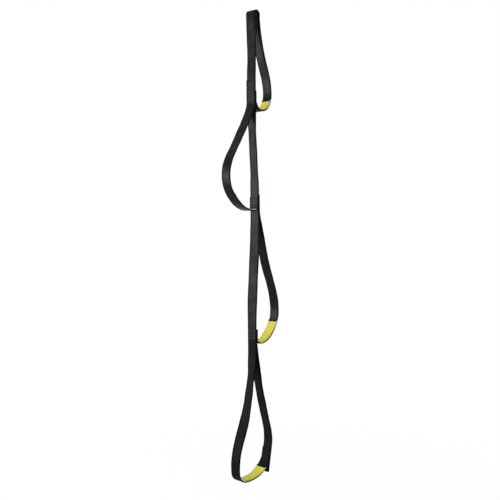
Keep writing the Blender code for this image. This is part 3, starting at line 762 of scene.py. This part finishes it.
def add_tack(build, ribbon, run, out, side, length, width=TACK_WIDTH, step_down=0.0):
    """A bar tack: threads side by side over the webbing, each leaning against the next.

    step_down is how far its threads drop at their far end, or at their near end if negative.
    """
    count = round(width / TACK_PITCH)
    for i in range(count):
        across = (i - (count - 1) / 2) * TACK_PITCH
        lean = TACK_LEAN if i % 2 else -TACK_LEAN
        points = []
        for k in range(TACK_POINTS):
            t = 2 * k / (TACK_POINTS - 1) - 1
            height = TACK_HEIGHT * math.sqrt(max(0.0, 1 - t * t)) - TACK_THREAD * abs(t) ** 4
            toward_drop = t if step_down > 0 else -t
            height -= abs(step_down) * smooth(TACK_DROP_RATE * toward_drop - TACK_DROP_START)
            points.append(
                ribbon.place(run + t * length / 2, across + lean * t, out + side * height)
            )
        out_axis = ribbon.place(run, across, out + side) - ribbon.place(run, across, out)
        add_thread(build, points, TACK_THREAD, out_axis.normalized())


def add_stitch_row(build, ribbon, start, end, across, out, side):
    """A row of single stitches along a strap, each dipping into it at both ends."""
    count = int((end - start) / STITCH_PITCH)
    slack = (end - start) - count * STITCH_PITCH
    for i in range(count):
        first = start + slack / 2 + i * STITCH_PITCH
        points = []
        for k in range(STITCH_POINTS):
            t = 2 * k / (STITCH_POINTS - 1) - 1
            height = STITCH_HEIGHT - (STITCH_HEIGHT + STITCH_DIP) * t**4
            run = first + STITCH_LENGTH * (t + 1) / 2
            points.append(ribbon.place(run, across, out + side * height))
        middle = first + STITCH_LENGTH / 2
        out_axis = ribbon.place(middle, across, out + side) - ribbon.place(middle, across, out)
        add_thread(build, points, STITCH_THREAD, out_axis.normalized())


class Shader:
    """A material and short ways to wire its nodes."""

    def __init__(self, name):
        self.material = bpy.data.materials.new(name)
        self.material.use_nodes = True
        self.tree = self.material.node_tree
        self.surface = self.tree.nodes["Principled BSDF"]

    def node(self, kind, *values, **settings):
        made = self.tree.nodes.new(kind)
        for key, value in settings.items():
            setattr(made, key, value)
        for socket, value in zip(made.inputs, values):
            self.feed(socket, value)
        return made

    def feed(self, socket, value):
        if isinstance(value, bpy.types.NodeSocket):
            self.tree.links.new(value, socket)
        elif value is not None:
            socket.default_value = value

    def math(self, operation, *values, clamp=False):
        return self.node("ShaderNodeMath", *values, operation=operation, use_clamp=clamp).outputs[0]

    def attribute(self, name):
        return self.node("ShaderNodeAttribute", attribute_name=name).outputs["Fac"]

    def blend(self, share, low, high):
        mix = self.node("ShaderNodeMix", data_type="RGBA")
        self.feed(mix.inputs["Factor"], share)
        self.feed(mix.inputs["A"], low)
        self.feed(mix.inputs["B"], high)
        return mix.outputs["Result"]

    def ramp(self, value, low, high):
        """0 where the value is low, 1 where it is high, and a smooth rise between."""
        made = self.node("ShaderNodeMapRange", value, low, high, 0.0, 1.0)
        made.interpolation_type = "SMOOTHSTEP"
        return made.outputs[0]

    def noise(self, vector, scale, detail=2.0):
        made = self.node("ShaderNodeTexNoise", vector)
        made.inputs["Scale"].default_value = scale
        made.inputs["Detail"].default_value = detail
        return made.outputs["Fac"]

    def lengths(self):
        """The strap's own lengths, in metres: round its outline and along it."""
        place = self.node("ShaderNodeUVMap", uv_map=WEAVE_MAP).outputs[0]
        split = self.node("ShaderNodeSeparateXYZ", place)
        return split.outputs[0], split.outputs[1]

    def stretched(self, u, v, along):
        """A vector for a noise, drawn out along the strap."""
        return self.node("ShaderNodeCombineXYZ", u, self.math("DIVIDE", v, along)).outputs[0]

    def grain(self, u, v, kind):
        """A noise over the strap, of a kind that says how far it is drawn out, and its scale."""
        along, scale = kind
        return self.noise(self.stretched(u, v, along), scale)


def herringbone(shader, u, v, column, pick):
    """A weave of slanted floats in columns that lean by turns: 0 in its gaps, 1 on its floats."""
    columns = shader.math("DIVIDE", u, column)
    within = shader.math("SUBTRACT", shader.math("FRACT", columns), 0.5)
    odd = shader.math("PINGPONG", shader.math("FLOOR", columns), 1.0)
    lean = shader.math("MULTIPLY_ADD", odd, 2.0 * WEAVE_SLANT, -WEAVE_SLANT)
    shift = shader.math("MULTIPLY_ADD", within, lean, shader.math("MULTIPLY", odd, 0.5))
    floats = shader.math("FRACT", shader.math("MULTIPLY_ADD", v, 1.0 / pick, shift))
    crown = arch(shader, within)
    swell = arch(shader, shader.math("SUBTRACT", floats, 0.5))
    swollen = shader.math("MULTIPLY_ADD", swell, FLOAT_SWELL, 1.0 - FLOAT_SWELL)
    return shader.math("MULTIPLY", crown, swollen)


def arch(shader, value):
    """A round crown over values from -0.5 to 0.5."""
    square = shader.math("MULTIPLY", value, value)
    rise = shader.math("MULTIPLY_ADD", square, -4.0, 1.0, clamp=True)
    return shader.math("SQRT", rise)


def finish_surface(shader, colour, roughness, height, bump):
    shader.feed(shader.surface.inputs["Base Color"], colour)
    shader.feed(shader.surface.inputs["Roughness"], roughness)
    relief = shader.node("ShaderNodeBump")
    relief.inputs["Distance"].default_value = bump
    shader.feed(relief.inputs["Height"], height)
    shader.feed(shader.surface.inputs["Normal"], relief.outputs[0])


def webbing_material(name, roughness, specular):
    shader = Shader(name)
    u, v = shader.lengths()
    weave = herringbone(shader, u, v, WEAVE_COLUMN, WEAVE_PICK)
    fibres = shader.grain(u, v, WEBBING_FIBRES)
    clouds = shader.grain(u, v, WEBBING_CLOUDS)
    seal = shader.attribute("seal_share")
    selvage = shader.ramp(shader.attribute("edge_share"), *SELVAGE)
    stripes = shader.math("SINE", shader.math("MULTIPLY", u, math.tau / STRIPE_PITCH))
    tone = shader.math("MULTIPLY", fibres, WEBBING_FIBRE_TONE)
    tone = shader.math("MULTIPLY_ADD", weave, WEBBING_WEAVE_TONE, tone)
    tone = shader.math("MULTIPLY_ADD", stripes, WEBBING_STRIPE_TONE, tone)
    tone = shader.math("MULTIPLY_ADD", clouds, WEBBING_CLOUD_TONE, tone)
    tone = shader.math("MULTIPLY_ADD", selvage, -SELVAGE_DARKENING, tone)
    tone = shader.math("MULTIPLY_ADD", seal, -SEAL_DARKENING, tone, clamp=True)
    colour = shader.blend(tone, BLACK_LOW, BLACK_HIGH)
    streaks = shader.grain(u, v, WEBBING_STREAKS)
    rough = shader.math("MULTIPLY_ADD", selvage, SELVAGE_ROUGHENING, roughness)
    rough = shader.math("MULTIPLY_ADD", stripes, STRIPE_ROUGHENING, rough)
    rough = shader.math("ADD", rough, -STREAK_ROUGHENING / 2)
    rough = shader.math("MULTIPLY_ADD", streaks, STREAK_ROUGHENING, rough)
    rough = shader.math("MULTIPLY_ADD", fibres, FIBRE_ROUGHENING, rough)
    rough = shader.math("MULTIPLY_ADD", seal, -SEAL_SMOOTHING, rough, clamp=True)
    height = shader.math("MULTIPLY_ADD", fibres, FIBRE_RELIEF, weave)
    finish_surface(shader, colour, rough, height, WEAVE_BUMP)
    shader.surface.inputs["Specular IOR Level"].default_value = specular
    shader.surface.inputs["Specular Tint"].default_value = COOL_GLOSS
    return shader.material


def lining_material():
    shader = Shader("yellow_lining_weave")
    u, v = shader.lengths()
    weave = herringbone(shader, u, v, LINING_COLUMN, LINING_PICK)
    fibres = shader.grain(u, v, LINING_FIBRES)
    clouds = shader.grain(u, v, LINING_CLOUDS)
    streaks = shader.grain(u, v, LINING_STREAKS)
    edge = shader.attribute("edge_share")
    seal = shader.attribute("seal_share")
    tone = shader.math("MULTIPLY", fibres, LINING_FIBRE_TONE)
    tone = shader.math("MULTIPLY_ADD", weave, LINING_WEAVE_TONE, tone)
    tone = shader.math("MULTIPLY_ADD", clouds, LINING_CLOUD_TONE, tone)
    tone = shader.math("MULTIPLY_ADD", streaks, LINING_STREAK_TONE, tone)
    tone = shader.math("MULTIPLY_ADD", seal, -SEAL_DARKENING, tone, clamp=True)
    colour = shader.blend(tone, YELLOW_LOW, YELLOW_HIGH)
    # Painted shade: olive towards both edges of the lining
    painted_edge_shade = shader.math("MULTIPLY", shader.ramp(edge, *LINING_SHADE_SPAN), LINING_EDGE_SHADE)
    colour = shader.blend(painted_edge_shade, colour, YELLOW_PAINTED_SHADE)
    # Side walls: painted shade, turning to a painted highlight near the lining's ends
    side_shade_and_highlight = shader.blend(shader.attribute("end_highlight_share"), YELLOW_SIDE_SHADE, YELLOW_END_HIGHLIGHT)
    colour = shader.blend(shader.ramp(edge, *LINING_PAINTED_SIDES), colour, side_shade_and_highlight)
    rough = shader.math("MULTIPLY_ADD", fibres, LINING_FIBRE_ROUGHENING, LINING_ROUGHNESS)
    height = shader.math("MULTIPLY_ADD", fibres, FIBRE_RELIEF, weave)
    finish_surface(shader, colour, rough, height, WEAVE_BUMP)
    shader.surface.inputs["Specular IOR Level"].default_value = LINING_SPECULAR
    shader.surface.inputs["Sheen Weight"].default_value = LINING_SHEEN
    shader.surface.inputs["Sheen Roughness"].default_value = LINING_SHEEN_ROUGHNESS
    return shader.material


def thread_material(name, low, high):
    shader = Shader(name)
    place = shader.node("ShaderNodeTexCoord").outputs["Object"]
    twist = shader.noise(place, THREAD_TWIST_SCALE, 1.0)
    colour = shader.blend(twist, low, high)
    rough = shader.math("MULTIPLY_ADD", twist, THREAD_TWIST_ROUGHENING, THREAD_ROUGHNESS)
    finish_surface(shader, colour, rough, twist, THREAD_TWIST_BUMP)
    shader.surface.inputs["Specular IOR Level"].default_value = THREAD_SPECULAR
    return shader.material


def rays_that_see_white(tree):
    """1 for camera, glossy and transmission rays, and 0 for those that only light things."""
    path = tree.nodes.new("ShaderNodeLightPath")
    seen = path.outputs["Is Camera Ray"]
    for kind in ("Is Glossy Ray", "Is Transmission Ray"):
        both = tree.nodes.new("ShaderNodeMath")
        both.operation = "MAXIMUM"
        tree.links.new(seen, both.inputs[0])
        tree.links.new(path.outputs[kind], both.inputs[1])
        seen = both.outputs[0]
    return seen


def add_world():
    world = bpy.data.worlds.new("white_studio")
    world.use_nodes = True
    tree = world.node_tree
    background = tree.nodes["Background"]
    background.inputs["Color"].default_value = WHITE
    strength = tree.nodes.new("ShaderNodeMapRange")
    strength.inputs["To Min"].default_value = AMBIENT
    strength.inputs["To Max"].default_value = 1.0
    tree.links.new(rays_that_see_white(tree), strength.inputs["Value"])
    tree.links.new(strength.outputs[0], background.inputs["Strength"])
    bpy.context.scene.world = world


def floor_material():
    """Pale, and seen as nearly white: its own shading shows through only a little, near the middle."""
    shader = Shader("pale_floor")
    shader.surface.inputs["Base Color"].default_value = FLOOR_COLOUR
    shader.surface.inputs["Roughness"].default_value = FLOOR_ROUGHNESS
    place = shader.node("ShaderNodeTexCoord").outputs["Object"]
    away = shader.node("ShaderNodeVectorMath", place, operation="LENGTH").outputs["Value"]
    whiter = shader.node(
        "ShaderNodeMapRange", away, FLOOR_GLOW_FROM, FLOOR_GLOW_FULL, FLOOR_GLOW, 1.0
    ).outputs[0]
    share = shader.math("MULTIPLY", whiter, rays_that_see_white(shader.tree))
    glow = shader.node("ShaderNodeEmission", WHITE, 1.0)
    mix = shader.node("ShaderNodeMixShader", share, shader.surface.outputs[0], glow.outputs[0])
    output = shader.tree.nodes["Material Output"]
    shader.tree.links.new(mix.outputs[0], output.inputs["Surface"])
    return shader.material


def add_floor():
    build = bmesh.new()
    bmesh.ops.create_circle(build, cap_ends=True, radius=FLOOR_RADIUS, segments=FLOOR_SEGMENTS)
    floor = mesh_object("floor", build, floor_material())
    floor.location = (0.0, 0.0, FLOOR_Z)


def add_lamp(name, azimuth, elevation, distance, aim_z, size, power):
    """A soft square lamp, seen from the aim point at this azimuth, measured as the camera's is."""
    data = bpy.data.lights.new(name, "AREA")
    data.shape = "RECTANGLE"
    data.size = size
    data.size_y = size
    data.energy = power
    lamp = bpy.data.objects.new(name, data)
    a = math.radians(azimuth)
    e = math.radians(elevation)
    away = Vector((math.sin(a) * math.cos(e), -math.cos(a) * math.cos(e), math.sin(e)))
    lamp.location = Vector((0.0, 0.0, aim_z)) + away * distance
    lamp.rotation_euler = away.to_track_quat("Z", "Y").to_euler()
    bpy.context.scene.collection.objects.link(lamp)


def add_lights():
    add_world()
    for lamp in LAMPS:
        add_lamp(*lamp)


def add_camera():
    data = bpy.data.cameras.new("camera")
    data.sensor_width = SENSOR
    data.lens = FOCAL_PIXELS / PICTURE_SIZE * SENSOR
    data.clip_start = 0.01
    camera = bpy.data.objects.new("camera", data)
    aim = math.degrees(math.atan((AXIS_COLUMN - PICTURE_SIZE / 2) / FOCAL_PIXELS))
    yaw = math.radians(CAMERA_AZIMUTH + aim)
    a = math.radians(CAMERA_AZIMUTH)
    place = Vector((math.sin(a), -math.cos(a), 0.0)) * CAMERA_DISTANCE
    place.z = CAMERA_Z
    camera.matrix_world = (
        Matrix.Translation(place)
        @ Matrix.Rotation(yaw, 4, "Z")
        @ Matrix.Rotation(math.radians(90.0 + CAMERA_PITCH), 4, "X")
        @ Matrix.Rotation(math.radians(CAMERA_ROLL), 4, "Z")
    )
    bpy.context.scene.collection.objects.link(camera)
    bpy.context.scene.camera = camera


def strap(name, ribbon, nodes, style, sealed=(True, True), webbing="webbing"):
    """A whole strap of webbing, which stands for these CAD nodes."""
    piece = swept(name, ribbon, 0.0, ribbon.length, style["outline"], style[webbing], 0.0, sealed)
    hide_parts(*nodes)
    return piece


def bend_at(piece, above, below, x, hinge_z):
    """Bake a strap's placement into its mesh."""
    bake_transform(piece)


def tread_lining(step, ribbon, tread_run, span, body, style):
    """The bright lining inside a tread, its edge stitches and the bar tack at each end."""
    start = tread_run - span[0]
    end = tread_run + span[1]
    under = WEBBING_THICKNESS / 2
    top = under + LINING_THICKNESS
    lining = swept(
        f"tread_lining_{step}",
        ribbon,
        start,
        end,
        style["lining_outline"],
        style["lining"],
        under + LINING_THICKNESS / 2,
    )
    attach(lining, body)
    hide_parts(f"step_{step}_lining")
    tacks = bmesh.new()
    for run, drop in ((start + LINING_TACK_MARGIN, -1), (end - LINING_TACK_MARGIN, 1)):
        add_tack(
            tacks,
            ribbon,
            run,
            top,
            1,
            LINING_TACK_LENGTH,
            LINING_TACK_WIDTH,
            drop * LINING_THICKNESS,
        )
    seams = bmesh.new()
    first = start + STITCH_CLEAR_OF_TACK
    last = end - STITCH_CLEAR_OF_TACK
    for across in (LINING_WIDTH / 2 - STITCH_INSET, STITCH_INSET - LINING_WIDTH / 2):
        add_stitch_row(seams, ribbon, first, last, across, top, 1)
        add_stitch_row(tacks, ribbon, first, last, across, -under, -1)
    seams = mesh_object(f"lining_seams_{step}", seams, style["yellow_thread"])
    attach(seams, body)
    sewing = mesh_object(f"tread_stitching_{step}", tacks, style["thread"])
    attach(sewing, body)
    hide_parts(f"step_{step}_lining_tack_left", f"step_{step}_lining_tack_right")


def junction_stitching(junction, hinge_z, tail_top, tail_foot, front_x, body, style):
    """Two rows of bar tack through a junction's three layers, seen on its front and its back.

    The layers are flat and upright there, so the rows are placed from short straight ribbons.
    """
    build = bmesh.new()
    for x, side in ((front_x, -1), (front_x + 2 * LAYER_PITCH, 1)):
        top = hinge_z + tail_top
        face = Ribbon([Knot(x, top, DOWN), Knot(x, hinge_z, DOWN)], creased=False)
        for run in (TACK_END_MARGIN, tail_top - tail_foot - TACK_END_MARGIN):
            add_tack(build, face, run, side * WEBBING_THICKNESS / 2, side, TACK_LENGTH)
    # Grey thread, lightened by a painted highlight
    sewing = mesh_object(f"junction_stitching_{junction}", build, style["grey_thread"])
    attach(sewing, body)
    names = [f"junction_{junction}_tack_{row}" for row in ("upper", "lower")]
    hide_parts(*[f"{name}_{face}" for name in names for face in ("front", "back")])


def lap_stitching(style):
    """Two rows of bar tack where step 4's tread is sewn inside the right strap."""
    build = bmesh.new()
    lap = Ribbon([lap_knot(0.0, 0.0), lap_knot(STEP_4_LAP_TOP, 0.0)], creased=False)
    face = WEBBING_THICKNESS / 2
    for run in (STEP_4_LAP_START + TACK_END_MARGIN, STEP_4_LAP_TOP - TACK_END_MARGIN):
        add_tack(build, lap, run, LAYER_PITCH + face, 1, TACK_LENGTH)
        add_tack(build, lap, run, -face, -1, TACK_LENGTH)
    sewing = mesh_object("lap_stitching", build, style["thread"])
    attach(sewing, "bottom_section")
    names = [f"step_4_lap_tack_{row}" for row in ("upper", "lower")]
    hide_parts(*[f"{name}_{face}" for name in names for face in ("inner", "outer")])


def spine_webbing(number, path, roll, above, below, x, hinge_z, style):
    """A length of spine from inside one junction to inside the next, rolled between them."""
    ribbon = rolled_between_junctions(Ribbon(path), roll)
    name = f"spine_webbing_{number}"
    piece = strap(name, ribbon, [f"spine_{number}"], style, (False, False))
    bend_at(piece, above, below, x, hinge_z)


def make_style():
    """The materials and outlines that the pieces share."""
    return {
        "webbing": webbing_material("black_webbing_weave", *SMOOTH_WEBBING),
        "worn_webbing": webbing_material("worn_webbing_weave", *WORN_WEBBING),
        "lining": lining_material(),
        "thread": thread_material("black_thread_twist", THREAD_LOW, THREAD_HIGH),
        # Grey thread for the junction tacks, lightened by a painted highlight
        "grey_thread": thread_material("grey_thread_twist", GREY_SHEEN_THREAD_LOW, GREY_SHEEN_THREAD_HIGH),
        "yellow_thread": thread_material(
            "yellow_thread_twist", YELLOW_THREAD_LOW, YELLOW_THREAD_HIGH
        ),
        "outline": strap_outline(
            WEBBING_WIDTH, WEBBING_THICKNESS, WEBBING_EDGE, RIB_COUNT, RIB_RELIEF
        ),
        "lining_outline": strap_outline(LINING_WIDTH, LINING_THICKNESS, LINING_EDGE, 0.0, 0.0),
    }


def add_straps(style):
    """All seven straps, top to bottom. Gives the ribbons of the four that have a lined tread."""
    first = ("top_section", "second_section", JUNCTION_1_X, HINGE_1_Z)
    second = ("second_section", "third_section", JUNCTION_2_X, HINGE_2_Z)
    third = ("third_section", "bottom_section", JUNCTION_3_X, HINGE_3_Z)

    main_ribbon = Ribbon(main_path())
    main = strap("main_strap", main_ribbon, ["main_strap_top"], style, (True, False))
    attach(main, "top_section")

    step_2_ribbon = Ribbon(step_2_path())
    step_2 = strap("foot_strap_2", step_2_ribbon, ["step_2_head", "step_2_strap"], style)
    bend_at(step_2, *first)
    straight_z = HINGE_2_Z + JUNCTION_2_STRAIGHT
    path = spine_path(JUNCTION_1_X, SPLIT_1_Z, HINGE_1_Z, JUNCTION_2_X, straight_z, SPLIT_2_Z)
    spine_webbing(2, path, SPINE_2_ROLL, *first, style)

    step_3_ribbon = Ribbon(step_3_path())
    step_3 = strap("foot_strap_3", step_3_ribbon, ["step_3_head", "step_3_strap"], style)
    bend_at(step_3, *second)
    straight_z = HINGE_3_Z + JUNCTION_3_STRAIGHT
    path = spine_path(JUNCTION_2_X, SPLIT_2_Z, HINGE_2_Z, JUNCTION_3_X, straight_z, SPLIT_3_Z)
    spine_webbing(3, path, SPINE_3_ROLL, *second, style)

    step_4_ribbon = rolled(Ribbon(step_4_path()), STEP_4_LEFT_ARM_ROLLS)
    step_4 = strap(
        "bottom_loop_webbing", step_4_ribbon, ["step_4_strap"], style, (False, True), "worn_webbing"
    )
    bend_at(step_4, *third)
    right_ribbon = rolled(Ribbon(step_4_right_path()), STEP_4_RIGHT_ARM_ROLLS)
    nodes = ["step_4_right_strap", "step_4_return_end"]
    right = strap("bottom_right_webbing", right_ribbon, nodes, style, webbing="worn_webbing")
    bend_at(right, *third)
    return main_ribbon, step_2_ribbon, step_3_ribbon, step_4_ribbon


def build_ladder():
    style = make_style()
    ribbon_1, ribbon_2, ribbon_3, ribbon_4 = add_straps(style)
    lap_stitching(style)

    # For each tread: its step, its ribbon, the knot at its lowest point, its lining and its body
    treads = (
        (1, ribbon_1, 2, LINING_1_SPAN, "top_section"),
        (2, ribbon_2, 6, LINING_2_SPAN, "second_section"),
        (3, ribbon_3, 2, LINING_3_SPAN, "third_section"),
        (4, ribbon_4, 6, LINING_4_SPAN, "bottom_section"),
    )
    for step, ribbon, knot, span, body in treads:
        tread_lining(step, ribbon, ribbon.knot_runs[knot], span, body, style)

    # For each junction: its number, hinge, sewn tail's top and foot, front layer's X and body
    front_1 = JUNCTION_1_X - LAYER_PITCH
    front_2 = JUNCTION_2_X - LAYER_PITCH
    junctions = (
        (1, HINGE_1_Z, STEP_1_TAIL_TOP, STEP_1_TAIL_FOOT, front_1, "top_section"),
        (2, HINGE_2_Z, STEP_2_TAIL_TOP, STEP_2_TAIL_FOOT, front_2, "second_section"),
        (3, HINGE_3_Z, STEP_3_TAIL_TOP, STEP_3_TAIL_FOOT, JUNCTION_3_X, "third_section"),
    )
    for junction in junctions:
        junction_stitching(*junction, style)


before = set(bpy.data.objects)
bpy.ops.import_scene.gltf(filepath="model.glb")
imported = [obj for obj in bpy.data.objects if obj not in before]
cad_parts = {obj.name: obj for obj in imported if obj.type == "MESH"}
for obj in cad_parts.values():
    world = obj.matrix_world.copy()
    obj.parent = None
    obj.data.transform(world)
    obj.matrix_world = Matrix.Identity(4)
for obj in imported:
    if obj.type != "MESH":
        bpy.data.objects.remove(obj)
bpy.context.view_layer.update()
add_camera()
add_lights()
add_floor()
build_ladder()
bpy.context.scene.view_settings.view_transform = "Standard"
